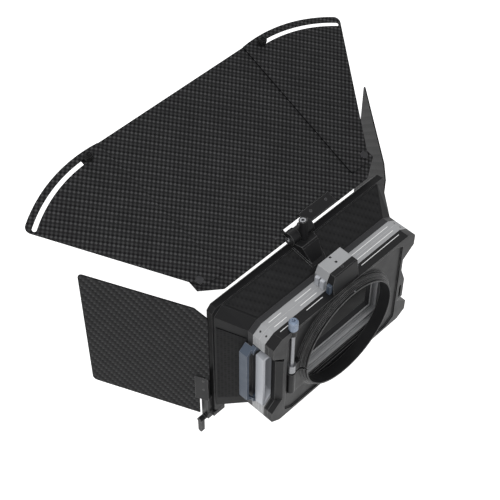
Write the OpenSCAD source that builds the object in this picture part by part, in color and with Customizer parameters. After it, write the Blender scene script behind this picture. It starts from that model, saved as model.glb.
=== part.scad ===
// Matte box with a carbon hood, three filter trays, a folding top flag and two side flags.
// Millimetres. The origin is the centre of the clamp ring's rear face, the mouth faces -Y, +Z is up.

/* [Lens clamp] */
// Bore of the clamp ring, which is the outside diameter of the lens front that it grips
bore_d = 114; // [106:1:116]
// Wall of the ring at its widest step
ring_wall = 5.8; // [5.4:0.1:6.5]
// How far the ring stands out behind the rear stage
ring_out = 7.5; // [6:0.1:10]
// Depth of the ring's spigot inside the rear stage
spigot_l = 5.2; // [4:0.1:5.4]
// Width of the split between the ring's two ears
split_w = 3; // [2:0.1:5]
// Distance of the clamp rod from the centre plane
rod_x = 70; // [69:0.5:74]
// Diameter of the clamp rod
rod_d = 4.5; // [3:0.1:5.4]
// Length of the threaded barrel below the split
barrel_l = 30; // [20:1:36]
// Outside diameter of the barrel
barrel_d = 8.2; // [7.4:0.1:8.2]
// Length of the bush above the split
bush_l = 10; // [6:1:14]
// Diameter of the clamp knob
clamp_knob_d = 9; // [8:0.2:12]
// Height of the clamp knob
clamp_knob_h = 13; // [8:0.5:18]

/* [Stages] */
// Width of the stages
stage_w = 190.4; // [184:0.4:200]
// Height of the stages
stage_h = 125.6; // [125.6:0.4:140]
// Width of the corner facets on the stages
facet_x = 10.7; // [8:0.1:12]
// Height of the corner facets on the stages
facet_z = 6.8; // [5:0.1:7.6]
// Thickness of each filter stage
filter_stage_t = 7.25; // [7:0.05:10]
// Thickness of the rear stage that holds the clamp ring
clamp_stage_t = 11; // [11:0.1:14]
// Height of the side recess at its mouth
recess_mouth = 86; // [80:1:90]
// Height of the side recess at its floor
recess_floor = 62; // [56:1:66]
// Depth of the side recess
recess_d = 14.2; // [12:0.1:14.6]
// Width of the light window through the stages
window_w = 140; // [120:1:143]
// Height of the light window through the stages
window_h = 98; // [80:1:101]

/* [Filter trays] */
// Width of the glass filter that a tray takes
filter_w = 143.5; // [140:0.1:145]
// Height of the glass filter that a tray takes
filter_h = 101.6; // [98:0.1:103]
// Depth of the pocket for the filter
pocket_d = 2.8; // [2:0.1:3.2]
// Width of the lip that carries the filter all round
filter_lip = 3.5; // [2:0.1:6]
// Thickness of a tray
tray_t = 4; // [3.6:0.1:4.1]
// Height of a tray
tray_h = 108.4; // [107:0.2:110]
// Reach of the front grip beyond the stage's side
front_grip_out = 9.8; // [6:0.1:16]
// Reach of the middle grip beyond the stage's side
middle_grip_out = 1.5; // [0.5:0.1:6]
// Height of the rear grip's face above the recess floor
rear_grip_out = 5.7; // [5.2:0.1:9]
// Thickness of the bars of the two open grips
grip_bar = 3; // [2:0.1:4]

/* [Hood] */
// Thickness of the rear frame
rear_frame_t = 6; // [5:0.1:10]
// Length of the flared part of the hood
flare_l = 25.2; // [20:0.1:40]
// Width of the hood where it meets the front frame
flare_w = 225; // [222:0.5:226]
// Height of the hood where it meets the front frame
flare_h = 155; // [152:0.5:156]
// Wall of the hood
hood_wall = 2; // [1.5:0.1:3]
// Width of the front frame
front_frame_w = 229.4; // [228:0.2:232]
// Height of the front frame
front_frame_h = 158; // [157:0.2:162]
// Depth of the front frame
front_frame_t = 8.4; // [7:0.1:12]
// Thickness of the carbon panels
panel_t = 0.6; // [0.4:0.1:1]

/* [Top flag] */
// Tilt of the top flag at rest above level
flag_tilt = 20.3; // [10:0.1:40]
// Width of the top flag
flag_w = 230; // [222:1:236]
// Length of the top flag from its hinge
flag_l = 175; // [168:0.5:200]
// Thickness of the carbon sheets
sheet_t = 1.2; // [1:0.1:2]
// Height of the hinge axis above the front frame
flag_axis_up = 8.8; // [8.2:0.1:12]
// Radius of the hinge knuckles
knuckle_r = 7; // [5:0.1:7.4]
// Outer end of the hinge knuckles from the centre plane
knuckle_x = 13.5; // [10:0.5:18]
// Diameter of the top flag's hinge pin
flag_pin_d = 4; // [3:0.1:5]
// Length of the hinge leaves along the flag's base
leaf_l = 37; // [25:1:50]
// Width of the hinge leaves
leaf_w = 12; // [9:0.5:16]
// Height of the lock post above the bracket
post_h = 22.3; // [16:0.1:24]
// Diameter of the lock post
post_d = 8; // [7:0.1:8]

/* [Flag wings] */
// Distance of each wing's pivot from the flag's side edge
wing_pivot_in = 7.5; // [7:0.5:13]
// Distance of each wing's pivot from the flag's hinge
wing_pivot_v = 19.2; // [17:0.1:22]
// Outer radius of a wing about its pivot
wing_r = 156.5; // [152:0.5:158]
// Angle of a wing's outer edge from straight ahead
wing_angle = 34.7; // [28:0.1:36]
// Radius of the arc slot's centre line
slot_r = 148; // [144:0.1:149]
// Width of the arc slot
slot_w = 4.2; // [4:0.1:6]
// Diameter of the wing clamp knobs
wing_knob_d = 8; // [7:0.1:12]
// Height of the wing clamp knobs
wing_knob_h = 8.5; // [7:0.5:16]

/* [Side flags] */
// Length of a side flag from its hinge
side_flag_l = 118.2; // [100:0.2:128]
// Height of the side flag's top edge above the bore axis
side_flag_top = 80.8; // [60:0.1:82]
// Depth of the side flag's bottom edge below the bore axis
side_flag_low = 81.3; // [79.6:0.1:88]
// Outward angle of the left flag at rest
left_open = 24.5; // [0:0.1:50]
// Outward angle of the right flag at rest
right_open = 38.9; // [0:0.1:50]
// Diameter of the side hinge pins
side_pin_d = 2.4; // [2:0.1:2.8]
// Outside diameter of the side hinge knuckles
side_knuckle_d = 4.6; // [4.2:0.1:4.8]
// Diameter of the side lever screws
lever_screw_d = 4; // [3:0.1:5]
// Length of the side levers
lever_l = 17.2; // [12:0.1:22]

/* [Tray locks] */
// Half width of the lock housings
lock_half_w = 16.5; // [14:0.5:22]
// Height of the lock housings above the stages
lock_h = 19.7; // [16:0.1:24]
// How far the lock bars stand out at each end
lock_out = 3; // [2.4:0.1:5]
// Height of the lock bars
lock_bar_h = 10.6; // [8:0.1:12]

/* [Fits] */
// Radial clearance of pins that turn
pin_fit = 0.05; // [0.02:0.01:0.09]
// Clearance of a tray on each face
tray_fit = 0.1; // [0.05:0.01:0.2]
// Clearance of sliding bars on each face
slide_fit = 0.15; // [0.1:0.01:0.25]
// Gap between sheets and pieces that pass each other
pass_gap = 0.3; // [0.2:0.05:0.4]

/* [Hidden] */
$fn = 64;

eps = 0.01;
stage_hw = stage_w / 2;
stage_hh = stage_h / 2;
bore_r = bore_d / 2;
ring_r = bore_r + ring_wall;
spigot_r = ring_r - 2.9;
mouth_hh = recess_mouth / 2;
floor_hh = recess_floor / 2;
floor_x = stage_hw - recess_d;

// Stations along Y, from the clamp ring forward to the mouth
y_clamp_back = -ring_out;
y_clamp_front = y_clamp_back - clamp_stage_t;
y_middle_front = y_clamp_front - filter_stage_t;
y_stage_front = y_middle_front - filter_stage_t;
y_flare_back = y_stage_front - rear_frame_t;
y_flare_front = y_flare_back - flare_l;
y_mouth = y_flare_front - front_frame_t;

// Screws on the corner facets
corner_screw_r = 1.1;
corner_screw_l = 1.6;

// Trays: each lies behind the stage's front wall
stage_wall = 0.8;
tray_hh = tray_h / 2;
tray_right = filter_w / 2 + 4.25;
tray_set = stage_wall + tray_fit;
front_tray_y = y_stage_front + tray_set;
middle_tray_y = y_middle_front + tray_set;
rear_tray_y = y_clamp_front + tray_set;

// Grips: three layers along Y that slide past each other
grip_gap = 0.4;
middle_grip_y0 = y_middle_front - 2.2;
middle_grip_y1 = y_clamp_front - 0.2;
front_grip_y0 = y_stage_front + 0.2;
front_grip_y1 = middle_grip_y0 - pass_gap;
front_grip_lead = 7.5;
rear_grip_y0 = y_clamp_front + 0.5;
rear_grip_y1 = y_clamp_back - 0.2;
front_grip_hh = 34;
middle_grip_top = 33;
middle_grip_low = 39;
rear_grip_top = 27;

// Clamp rod and its ears on the ring
set_screw_r = 0.75;
rod_r = rod_d / 2;
rod_y = y_clamp_back - 1;
barrel_r = barrel_d / 2;
ear_x = rod_x - 14;
rod_low = -barrel_l + 1;
knob_z = stage_hh + 0.4;
lug_h = 6.6;

// Hood
frame_hw = front_frame_w / 2;
frame_hh = front_frame_h / 2;
frame_cut = 4.5;
rail = 4.7;
panel_gap = 0.03;
lift = panel_t + 2 * panel_gap;

// Top flag: u along X, v up the flag from its hinge, w out of its upper face
axis_y = y_mouth + 3.4;
axis_z = frame_hh + flag_axis_up;
flag_pin_r = flag_pin_d / 2;
ear_hw = 4.1;
knuckle_gap = 0.3;
flag_hw = flag_w / 2;
wing_pivot_u = flag_hw - wing_pivot_in;
flag_shoulder_u = flag_hw - 21;
flag_shoulder_v = 13;
cut_u = knuckle_x + 1;
cut_v = knuckle_r + 3;
leaf_t = 1.6;
wing_w0 = sheet_t / 2 + pass_gap;
wing_base_v = wing_pivot_v - 7.25;
knob_angle = 0.8;
slot_end_angle = wing_angle - 0.1;
knob_u = wing_pivot_u + slot_r * sin(knob_angle);
knob_v = wing_pivot_v + slot_r * cos(knob_angle);
stud_r = 1.5;
rivet_r = 2;

// Bracket on the hood's top slope
block_z = axis_z - 3.2;
block_y0 = axis_y + 4.5;
block_y1 = axis_y + 13.5;
bracket_end_y = y_flare_back - 5.5;
slope = (flare_h - stage_h) / 2 / flare_l;
slope_lift = lift * sqrt(1 + slope * slope);
post_lean = 6.7;
post_y = axis_y + 6.9;

// Side flags
side_axis_x = frame_hw + pass_gap + side_knuckle_d / 2;
side_axis_y = y_mouth + 0.1;
side_pin_r = side_pin_d / 2;
side_knuckle_r = side_knuckle_d / 2;
back_t = 1.5;
sheet_out = side_knuckle_r + back_t + sheet_t;
leaf_out = sheet_out + 1;
sheet_in = -4.6;
sheet_lap = 1.4;
corner_run = 11.4;
corner_drop = 8.5;
leaf_end = 1.2;
leaf_u = 8.7;
leaf_top_z = -20.5;
notch_u = 5.2;
notch_z = -(frame_hh - 23.5);
bracket_top_z = -frame_hh - pass_gap;
lever_barrel_r = lever_screw_d / 2 + 0.9;
lever_z = -side_flag_low - 0.2 - lever_barrel_r;
lever_y = side_axis_y + 1.8;
barrel_x = side_axis_x + 6.4;

// Tray locks
lock_z = stage_hh;
bar_z0 = lock_z + 0.4;
bar_w = 4.4;
lock_rear_y = y_clamp_back - 3.5;

// Height of the hood's top surface at a place along Y
function hood_top(y) = stage_hh + (y_flare_back - y) * slope;
function flip(pts) = [for (i = [len(pts) - 1:-1:0]) [-pts[i][0], pts[i][1]]];
function arc(cx, cy, r, a0, a1, n = 8) =
    [for (i = [0:n]) [cx + r * cos(a0 + (a1 - a0) * i / n), cy + r * sin(a0 + (a1 - a0) * i / n)]];
// Right half of an outline with cut corners, from top to bottom
function cut_side(hw, hh, cx, cz) = [[hw - cx, hh], [hw, hh - cz], [hw, cz - hh], [hw - cx, -hh]];
function octagon(hw, hh, cx, cz) = concat(cut_side(hw, hh, cx, cz), flip(cut_side(hw, hh, cx, cz)));
function stage_side() = [
    [stage_hw - facet_x, stage_hh], [stage_hw, stage_hh - facet_z], [stage_hw, mouth_hh],
    [floor_x, floor_hh], [floor_x, -floor_hh], [stage_hw, -mouth_hh],
    [stage_hw, facet_z - stage_hh], [stage_hw - facet_x, -stage_hh]
];

module along_x(x0, x1) {
    translate([x0, 0, 0])
        rotate([90, 0, 90])
            linear_extrude(x1 - x0)
                children();
}

module along_y(y0, y1) {
    translate([0, y1, 0])
        rotate([90, 0, 0])
            linear_extrude(y1 - y0)
                children();
}

module along_z(z0, z1) {
    translate([0, 0, z0])
        linear_extrude(z1 - z0)
            children();
}

module rod_along_x(x0, x1, y, z, r) {
    translate([x0, y, z])
        rotate([0, 90, 0])
            cylinder(h = x1 - x0, r = r);
}

module rod_along_y(y0, y1, r) {
    translate([0, y1, 0])
        rotate([90, 0, 0])
            cylinder(h = y1 - y0, r = r);
}

module mirrored_x() {
    children();
    mirror([1, 0, 0])
        children();
}

module stage_outline() {
    polygon(concat(stage_side(), flip(stage_side())));
}

module window_outline() {
    square([window_w, window_h], center = true);
}

// A flat plate on the four corners q, with its thickness t outwards
module plate(q, t) {
    n = cross(q[1] - q[0], q[3] - q[0]);
    out = t * n / norm(n);
    polyhedron(
        points = concat(q, [for (p = q) p + out]),
        faces = [[0, 1, 2, 3], [7, 6, 5, 4], [0, 4, 5, 1], [1, 5, 6, 2], [2, 6, 7, 3], [3, 7, 4, 0]]
    );
}

// Hood

module flare_solid(shrink) {
    hull() {
        along_y(y_flare_front, y_flare_front + eps)
            polygon(octagon(flare_w / 2 - shrink, flare_h / 2 - shrink, 9.5, 9));
        along_y(y_flare_back - eps, y_flare_back)
            polygon(octagon(stage_hw - shrink, stage_hh - shrink, facet_x, facet_z));
    }
}

module hood_shell() {
    color([0.12, 0.12, 0.13])
        difference() {
            flare_solid(0);
            flare_solid(hood_wall);
            along_y(y_flare_front - 1, y_flare_front + eps)
                polygon(octagon(flare_w / 2 - hood_wall, flare_h / 2 - hood_wall, 9.5, 9));
            along_y(y_flare_back - eps, y_flare_back + 1)
                polygon(octagon(stage_hw - hood_wall, stage_hh - hood_wall, facet_x, facet_z));
        }
}

module hood_front_frame() {
    trim = 1.6;
    color([0.07, 0.07, 0.08])
        difference() {
            union() {
                along_y(y_mouth + trim, y_flare_front)
                    polygon(octagon(frame_hw, frame_hh, frame_cut, frame_cut));
                hull() {
                    along_y(y_mouth + trim - eps, y_mouth + trim)
                        polygon(octagon(frame_hw, frame_hh, frame_cut, frame_cut));
                    along_y(y_mouth, y_mouth + eps)
                        polygon(octagon(frame_hw - trim, frame_hh - trim, frame_cut, frame_cut));
                }
            }
            along_y(y_mouth - 1, y_flare_front + 1)
                polygon(octagon(frame_hw - rail, frame_hh - rail, frame_cut, frame_cut));
        }
}

module hood_rear_frame() {
    color([0.1, 0.1, 0.11])
        along_y(y_flare_back, y_stage_front)
            difference() {
                polygon(octagon(stage_hw, stage_hh, facet_x, facet_z));
                window_outline();
            }
}

// A carbon panel on the hood's top, or on its bottom where side is -1
module deck_panel(side) {
    in = 1.5;
    y0 = y_flare_front + in;
    y1 = y_flare_back - in;
    x0 = flare_w / 2 - 9.5 - 2 * in;
    x1 = stage_hw - facet_x - in;
    z0 = hood_top(y0) + panel_gap;
    z1 = hood_top(y1) + panel_gap;
    plate(
        side > 0
            ? [[-x0, y0, z0], [x0, y0, z0], [x1, y1, z1], [-x1, y1, z1]]
            : [[-x0, y0, -z0], [-x1, y1, -z1], [x1, y1, -z1], [x0, y0, -z0]],
        panel_t
    );
}

module hood_top_panel() {
    color([0.16, 0.16, 0.17])
        deck_panel(1);
}

module hood_bottom_panel() {
    color([0.16, 0.16, 0.17])
        deck_panel(-1);
}

// A carbon panel on the hood's left cheek
module cheek_panel() {
    in = 1.5;
    grade = (flare_w - stage_w) / 2 / flare_l;
    y0 = y_flare_front + in;
    y1 = y_flare_back - in;
    x0 = stage_hw + (y_flare_back - y0) * grade + panel_gap;
    x1 = stage_hw + (y_flare_back - y1) * grade + panel_gap;
    z0 = flare_h / 2 - 23;
    z1 = stage_hh - 17.4;
    plate([[x0, y0, -z0], [x1, y1, -z1], [x1, y1, z1], [x0, y0, z0]], panel_t);
}

module hood_left_panel() {
    color([0.13, 0.13, 0.14])
        cheek_panel();
}

module hood_right_panel() {
    color([0.13, 0.13, 0.14])
        mirror([1, 0, 0])
            cheek_panel();
}

// Stages

// The pocket that a tray slides into, open on the left
module tray_slot(y) {
    along_y(y - tray_fit, y + tray_t + tray_fit)
        translate([-tray_right - 0.4, -tray_hh - tray_fit])
            square([tray_right + stage_w, 2 * (tray_hh + tray_fit)]);
}

// Places its children on the middle of the four corner facets, z pointing out
module on_facets(y) {
    for (z_side = [0, 1])
        mirrored_x()
            mirror([0, 0, z_side])
                translate([stage_hw - facet_x / 2, y, stage_hh - facet_z / 2])
                    rotate([0, atan2(facet_z, facet_x), 0])
                        children();
}

module filter_stage(y0, tray_y) {
    difference() {
        along_y(y0, y0 + filter_stage_t)
            difference() {
                stage_outline();
                window_outline();
            }
        tray_slot(tray_y);
        on_facets(y0 + filter_stage_t / 2)
            translate([0, 0, -corner_screw_l - 0.1])
                cylinder(h = 3, r = corner_screw_r);
    }
}

module front_filter_stage() {
    color([0.62, 0.63, 0.65])
        filter_stage(y_stage_front, front_tray_y);
}

module middle_filter_stage() {
    color([0.62, 0.63, 0.65])
        filter_stage(y_middle_front, middle_tray_y);
}

module clamp_stage() {
    relief = 1.6;
    rim = 3;
    color([0.1, 0.1, 0.11])
        difference() {
            union() {
                along_y(y_clamp_front, y_clamp_back)
                    stage_outline();
                translate([rod_x, rod_y, stage_hh - lug_h])
                    cylinder(h = lug_h, r = rod_r + 1.4);
            }
            along_y(y_clamp_front - 1, rear_tray_y + eps)
                window_outline();
            rod_along_y(rear_tray_y, y_clamp_back + 1, spigot_r);
            tray_slot(rear_tray_y);
            // Sunk panels between the rim and the ring's seat
            difference() {
                along_y(y_clamp_back - relief, y_clamp_back + 1)
                    polygon(octagon(stage_hw - recess_d - rim, stage_hh - rim, facet_x, facet_z));
                rod_along_y(y_clamp_back - relief - 1, y_clamp_back + 2, ring_r + 1.2);
                translate([rod_x, rod_y, stage_hh - lug_h])
                    cylinder(h = lug_h, r = rod_r + 1.4);
            }
            // Room for the ring's ears and for the rod
            along_y(rear_tray_y + tray_t + tray_fit, y_clamp_back + 1)
                translate([ear_x - 1, -barrel_l - 2])
                    square([rod_x - ear_x + barrel_r + 1.8, barrel_l + 4 + split_w + bush_l]);
            translate([rod_x, rod_y, -barrel_l])
                cylinder(h = barrel_l + stage_hh + 1, r = rod_r + pin_fit);
            along_y(y_clamp_back - ring_out, y_clamp_back + 1)
                translate([rod_x - 3.4, 0])
                    square([6.8, stage_hh - lug_h - 1]);
        }
}

module corner_screws() {
    color([0.45, 0.45, 0.46])
        for (y = [y_stage_front, y_middle_front])
            on_facets(y + filter_stage_t / 2)
                translate([0, 0, -corner_screw_l - 0.1])
                    difference() {
                        cylinder(h = corner_screw_l, r = corner_screw_r);
                        translate([0, 0, corner_screw_l - 0.6])
                            cylinder(h = 1, r = 0.6, $fn = 6);
                    }
}

// Trays

module tray(y) {
    in = filter_lip;
    difference() {
        along_y(y, y + tray_t)
            intersection() {
                stage_outline();
                translate([-tray_right, -tray_hh])
                    square([tray_right + stage_w, tray_h]);
            }
        along_y(y - 1, y + tray_t + 1)
            square([filter_w - 2 * in, filter_h - 2 * in], center = true);
        along_y(y + tray_t - pocket_d, y + tray_t + 1)
            square([filter_w + 0.4, filter_h + 0.4], center = true);
    }
}

module front_tray() {
    color([0.6, 0.61, 0.63])
        tray(front_tray_y);
}

module middle_tray() {
    color([0.6, 0.61, 0.63])
        tray(middle_tray_y);
}

module rear_tray() {
    color([0.1, 0.1, 0.11])
        tray(rear_tray_y);
}

// Half outline of the room in the recess that a grip may fill, from the floor outwards
function recess_room() = [
    [floor_x, -floor_hh + grip_gap], [stage_hw, -mouth_hh + grip_gap], [stage_hw + 30, -mouth_hh + grip_gap],
    [stage_hw + 30, mouth_hh - grip_gap], [stage_hw, mouth_hh - grip_gap], [floor_x, floor_hh - grip_gap]
];

// Open loop of the front grip, grown inwards by its bar
module front_loop(in) {
    top = mouth_hh - grip_gap - 0.4;
    polygon([
        [floor_x + in, -floor_hh + grip_gap + in * 0.6],
        [stage_hw + 0.4, -top + in * 1.4],
        [stage_hw + front_grip_out - in, -front_grip_hh + in * 0.8],
        [stage_hw + front_grip_out - in, front_grip_hh - in * 0.8],
        [stage_hw + 0.4, top - in * 1.4],
        [floor_x + in, floor_hh - grip_gap - in * 0.6]
    ]);
}

module front_grip() {
    color([0.3, 0.35, 0.41])
        intersection() {
            along_y(y_stage_front - front_grip_lead, front_grip_y1)
                difference() {
                    front_loop(0);
                    front_loop(grip_bar);
                }
            union() {
                along_y(front_grip_y0, front_grip_y1)
                    translate([floor_x - 1, -mouth_hh])
                        square([recess_d + 5, 2 * mouth_hh]);
                along_y(y_stage_front - front_grip_lead, y_stage_front + 2)
                    translate([stage_hw + 2, -mouth_hh])
                        square([front_grip_out, 2 * mouth_hh]);
            }
        }
}

module middle_outline(in) {
    intersection() {
        polygon([for (p = recess_room()) [p[0] + in, p[1] + (p[1] < 0 ? in : -in)]]);
        translate([floor_x + in, -middle_grip_low + in])
            square([recess_d + middle_grip_out - 2 * in, middle_grip_low + middle_grip_top - 2 * in]);
    }
}

module middle_grip() {
    color([0.66, 0.67, 0.69])
        along_y(middle_grip_y0, middle_grip_y1)
            difference() {
                middle_outline(0);
                middle_outline(grip_bar);
            }
}

module rear_grip() {
    bevel = 5.1;
    color([0.09, 0.09, 0.1])
        intersection() {
            along_y(rear_grip_y0, rear_grip_y1)
                intersection() {
                    polygon(recess_room());
                    translate([floor_x, -mouth_hh])
                        square([rear_grip_out, mouth_hh + rear_grip_top]);
                }
            along_z(-mouth_hh, mouth_hh)
                polygon([
                    [floor_x - 1, rear_grip_y0], [floor_x + rear_grip_out, rear_grip_y0],
                    [floor_x + rear_grip_out, rear_grip_y1 - bevel],
                    [floor_x + rear_grip_out - bevel, rear_grip_y1], [floor_x - 1, rear_grip_y1]
                ]);
        }
}

// Lens clamp

module lens_clamp_ring() {
    y_in = y_clamp_back - spigot_l;
    color([0.13, 0.13, 0.14])
        difference() {
            union() {
                rotate([90, 0, 0])
                    rotate_extrude($fn = 160)
                        polygon([
                            [bore_r, 0], [bore_r + 1.5, 0], [bore_r + 1.5, 2.3],
                            [bore_r + 3, 2.8], [bore_r + 3, 4.2], [bore_r + 4.5, 4.7],
                            [bore_r + 4.5, 5.5], [ring_r, 6.4], [ring_r, ring_out],
                            [spigot_r - pin_fit, ring_out], [spigot_r - pin_fit, -y_in], [bore_r, -y_in]
                        ]);
                translate([rod_x, rod_y, -barrel_l])
                    cylinder(h = barrel_l - split_w / 2, r = barrel_r);
                along_y(y_in, rod_y + barrel_r - 1)
                    translate([ear_x, -barrel_l])
                        square([rod_x - ear_x, barrel_l + split_w / 2 + bush_l]);
            }
            rod_along_y(y_in - 1, 1, bore_r);
            translate([rod_x, rod_y, -barrel_l - 1])
                cylinder(h = barrel_l + split_w + bush_l + 2, r = rod_r + pin_fit);
            translate([rod_x, rod_y, split_w / 2])
                cylinder(h = bush_l + 1, r = barrel_r + pin_fit);
            translate([bore_r - 3, y_in - 1, -split_w / 2])
                cube([rod_x, spigot_l + ring_out + 2, split_w]);
            on_ring_step()
                cylinder(h = 2, r = set_screw_r);
        }
}

module clamp_bush() {
    color([0.55, 0.56, 0.58])
        translate([rod_x, rod_y, split_w / 2])
            difference() {
                cylinder(h = bush_l, r = barrel_r);
                translate([0, 0, -1])
                    cylinder(h = bush_l + 2, r = rod_r + pin_fit);
            }
}

module clamp_rod() {
    color([0.6, 0.6, 0.62])
        translate([rod_x, rod_y, rod_low])
            cylinder(h = knob_z + clamp_knob_h - 3 - rod_low, r = rod_r);
}

module clamp_knob() {
    color([0.5, 0.56, 0.64])
        translate([rod_x, rod_y, knob_z])
            difference() {
                union() {
                    cylinder(h = 1.5, r = clamp_knob_d / 2 - 1);
                    translate([0, 0, 1.5])
                        cylinder(h = clamp_knob_h - 2.5, r = clamp_knob_d / 2);
                    translate([0, 0, clamp_knob_h - 1])
                        cylinder(h = 1, r1 = clamp_knob_d / 2, r2 = clamp_knob_d / 2 - 1);
                }
                translate([0, 0, -1])
                    cylinder(h = clamp_knob_h - 2, r = rod_r);
                translate([0, 0, clamp_knob_h - 2])
                    cylinder(h = 3, r = 1.7, $fn = 6);
            }
}

// Places its children on the ring's first step, with z pointing out of it
module on_ring_step() {
    rotate([0, -93, 0])
        translate([bore_r + 0.7, -1.15, 0])
            rotate([0, 90, 0])
                children();
}

module ring_set_screw() {
    color([0.7, 0.7, 0.72])
        on_ring_step()
            difference() {
                cylinder(h = 0.75, r = set_screw_r);
                translate([0, 0, 0.4])
                    cylinder(h = 1, r = 0.35, $fn = 6);
            }
}

module strap_lug() {
    x = -floor_x;
    color([0.1, 0.1, 0.11])
        along_y(y_clamp_front + 4, y_clamp_back - 0.5)
            difference() {
                polygon([[x, 17], [x - 7.5, -4], [x - 7.5, -30], [x, -30]]);
                translate([x - 4, -27])
                    square([3, 18]);
            }
}

// Tray locks

// Front edges along Y of the three lock bars
bar_y = [y_stage_front + 2.5, y_middle_front + 1.3, y_clamp_front + 2.2];

module bar_holes() {
    for (y = bar_y)
        translate([-lock_half_w - 5, y - slide_fit, bar_z0 - slide_fit])
            cube([2 * lock_half_w + 10, bar_w + 2 * slide_fit, lock_bar_h + 2 * slide_fit]);
}

module housing_profile() {
    polygon([
        [lock_half_w, lock_z], [lock_half_w, lock_z + lock_h * 0.58],
        [lock_half_w - 3.5, lock_z + lock_h], [-lock_half_w + 0.6, lock_z + lock_h],
        [-lock_half_w, lock_z + lock_h - 0.6], [-lock_half_w, lock_z]
    ]);
}

module screw_wells(list) {
    for (y = list)
        translate([-1, y, lock_z + lock_h - 2])
            cylinder(h = 3, r = 1.35 + pin_fit);
}

well_y = [y_stage_front + 1.7, y_middle_front + 1.7, y_clamp_front + 1.7];

module lock_housing() {
    color([0.62, 0.63, 0.65])
        difference() {
            along_y(y_stage_front, y_clamp_front - 0.05)
                housing_profile();
            bar_holes();
            screw_wells([well_y[0], well_y[1]]);
        }
}

module rear_lock_housing() {
    color([0.09, 0.09, 0.1])
        difference() {
            intersection() {
                along_y(y_clamp_front, y_clamp_back)
                    housing_profile();
                along_x(-lock_half_w, lock_half_w)
                    polygon([
                        [y_clamp_front, lock_z], [lock_rear_y + 2, lock_z],
                        [lock_rear_y + 1, lock_z + 5], [lock_rear_y - 1, lock_z + lock_h - 1],
                        [lock_rear_y - 2, lock_z + lock_h], [y_clamp_front, lock_z + lock_h]
                    ]);
            }
            bar_holes();
            screw_wells([well_y[2]]);
        }
}

module lock_housing_screws() {
    color([0.5, 0.5, 0.52])
        for (y = well_y)
            translate([-1, y, lock_z + lock_h - 2])
                difference() {
                    cylinder(h = 1.5, r = 1.35);
                    translate([0, 0, 0.7])
                        cylinder(h = 1, r = 0.75, $fn = 6);
                }
}

module lock_bar(y) {
    difference() {
        translate([-lock_half_w - lock_out + 1.4, y, bar_z0])
            cube([2 * (lock_half_w + lock_out) - 1.4, bar_w, lock_bar_h]);
        translate([lock_half_w + lock_out, y - 1, bar_z0 + lock_bar_h])
            rotate([0, 45, 0])
                cube([1.6, bar_w + 2, 1.6], center = true);
    }
}

module front_lock_bar() {
    color([0.7, 0.72, 0.76])
        lock_bar(bar_y[0]);
}

module middle_lock_bar() {
    color([0.7, 0.72, 0.76])
        lock_bar(bar_y[1]);
}

module rear_lock_bar() {
    color([0.42, 0.5, 0.58])
        lock_bar(bar_y[2]);
}

// Top flag bracket

module bracket_plan(grow) {
    polygon([
        [-12.2 - grow, axis_y + 3.5], [12.2 + grow, axis_y + 3.5],
        [7.3 + grow, bracket_end_y + grow], [-7.3 - grow, bracket_end_y + grow]
    ]);
}

module flag_bracket() {
    foot = 1.5;
    y_end = bracket_end_y + 1.8;
    color([0.11, 0.11, 0.12])
        difference() {
            union() {
                intersection() {
                    along_x(-20, 20)
                        polygon([
                            [block_y0 - 1, block_z], [block_y1, block_z],
                            [bracket_end_y, hood_top(bracket_end_y) + slope_lift + 1],
                            [bracket_end_y, hood_top(bracket_end_y) + slope_lift],
                            [y_flare_front, hood_top(y_flare_front) + slope_lift],
                            [y_flare_front, frame_hh + 0.02], [block_y0 - 1, frame_hh + 0.02]
                        ]);
                    along_z(0, block_z + 1)
                        bracket_plan(0);
                }
                intersection() {
                    along_x(-20, 20)
                        polygon([
                            [y_flare_front, hood_top(y_flare_front) + slope_lift + foot],
                            [y_end, hood_top(y_end) + slope_lift + foot],
                            [y_end, hood_top(y_end) + slope_lift],
                            [y_flare_front, hood_top(y_flare_front) + slope_lift]
                        ]);
                    along_z(0, block_z + 1)
                        bracket_plan(1.8);
                }
                rod_along_x(-ear_hw, ear_hw, axis_y, axis_z, knuckle_r - 1);
                translate([-ear_hw, axis_y, frame_hh + 0.02])
                    cube([2 * ear_hw, 6, block_z - frame_hh - 0.02]);
            }
            rod_along_x(-ear_hw - 1, ear_hw + 1, axis_y, axis_z, flag_pin_r);
            mirrored_x()
                rod_along_x(ear_hw, knuckle_x + 2, axis_y, axis_z, knuckle_r + pass_gap);
        }
}

module bracket_plate() {
    y0 = block_y1 + 1.2;
    y1 = bracket_end_y - 0.8;
    z_end = hood_top(bracket_end_y) + slope_lift + 1;
    fall = (block_z - z_end) / (bracket_end_y - block_y1);
    function face_z(y) = block_z - (y - block_y1) * fall;
    function half_w(y) = 10.4 - (y - block_y1) * 0.3;
    color([0.04, 0.04, 0.05])
        plate([
            [-half_w(y0), y0, face_z(y0)], [half_w(y0), y0, face_z(y0)],
            [half_w(y1), y1, face_z(y1)], [-half_w(y1), y1, face_z(y1)]
        ], 0.5);
}

module on_post() {
    translate([0, post_y, block_z])
        rotate([post_lean, 0, 0])
            children();
}

module lock_post() {
    well = 8;
    color([0.16, 0.16, 0.17])
        difference() {
            on_post()
                difference() {
                    translate([0, 0, -2])
                        cylinder(h = post_h + 2, r = post_d / 2);
                    translate([0, 0, post_h - well])
                        cylinder(h = well + 1, r = post_d / 2 - 1);
                }
            translate([0, post_y, 0])
                along_z(block_z - 10, block_z)
                    square(40, center = true);
            rod_along_x(-ear_hw - 3, ear_hw + 3, axis_y, axis_z, knuckle_r - 1 + pin_fit);
        }
}

module post_screw() {
    color([0.75, 0.75, 0.77])
        on_post()
            translate([0, 0, post_h - 7.9])
                difference() {
                    cylinder(h = 8.1, r = post_d / 2 - 1 - pin_fit);
                    translate([0, 0, 5.6])
                        cylinder(h = 3, r = 1.6, $fn = 6);
                }
}

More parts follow.
